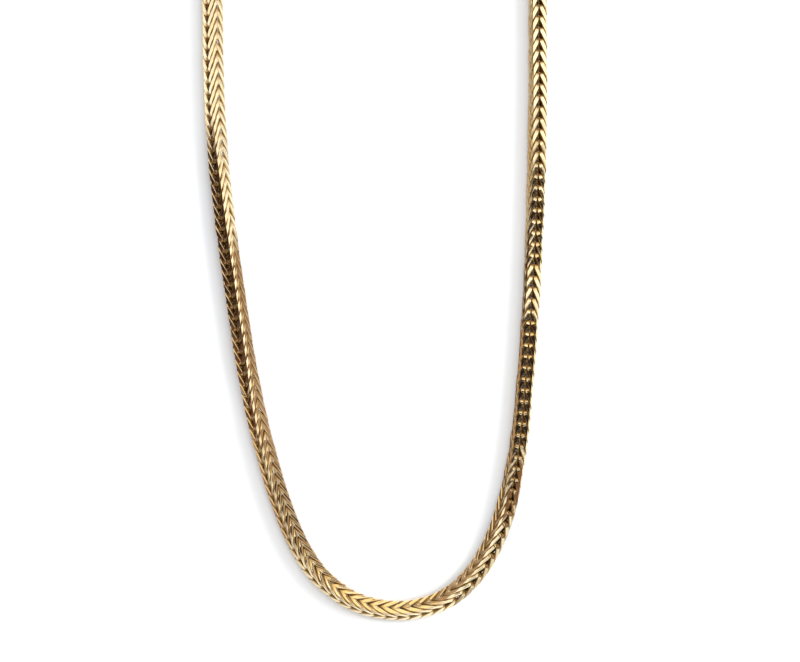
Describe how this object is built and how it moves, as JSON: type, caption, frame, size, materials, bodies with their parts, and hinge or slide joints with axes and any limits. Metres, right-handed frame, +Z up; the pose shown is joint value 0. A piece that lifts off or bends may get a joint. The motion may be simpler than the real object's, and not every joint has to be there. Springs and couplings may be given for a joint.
{
  "type": "wheat chain necklace",
  "caption": "Square woven loop-in-loop neck chain laid flat in a closed loop, with square end caps, a jump ring and a one-piece claw clasp.",
  "frame": {"origin": "On the surface that the necklace lies on, under the middle of the laid loop's box", "axes": "+Z up from the surface, +Y along the loop towards the clasp, +X to the right seen from above with the clasp at the top"},
  "size_m": [0.0595, 0.1996, 0.003],
  "materials": {
    "chain_gold": "polished pale yellow gold with darkened gaps between the links",
    "fitting_gold": "polished pale yellow gold, lightly worn"
  },
  "bodies": {
    "root": {"wheat_chain": "chain_gold", "end_cap_left": "fitting_gold", "end_cap_right": "fitting_gold", "jump_ring": "fitting_gold", "claw_clasp": "fitting_gold"}
  },
  "joints": []
}
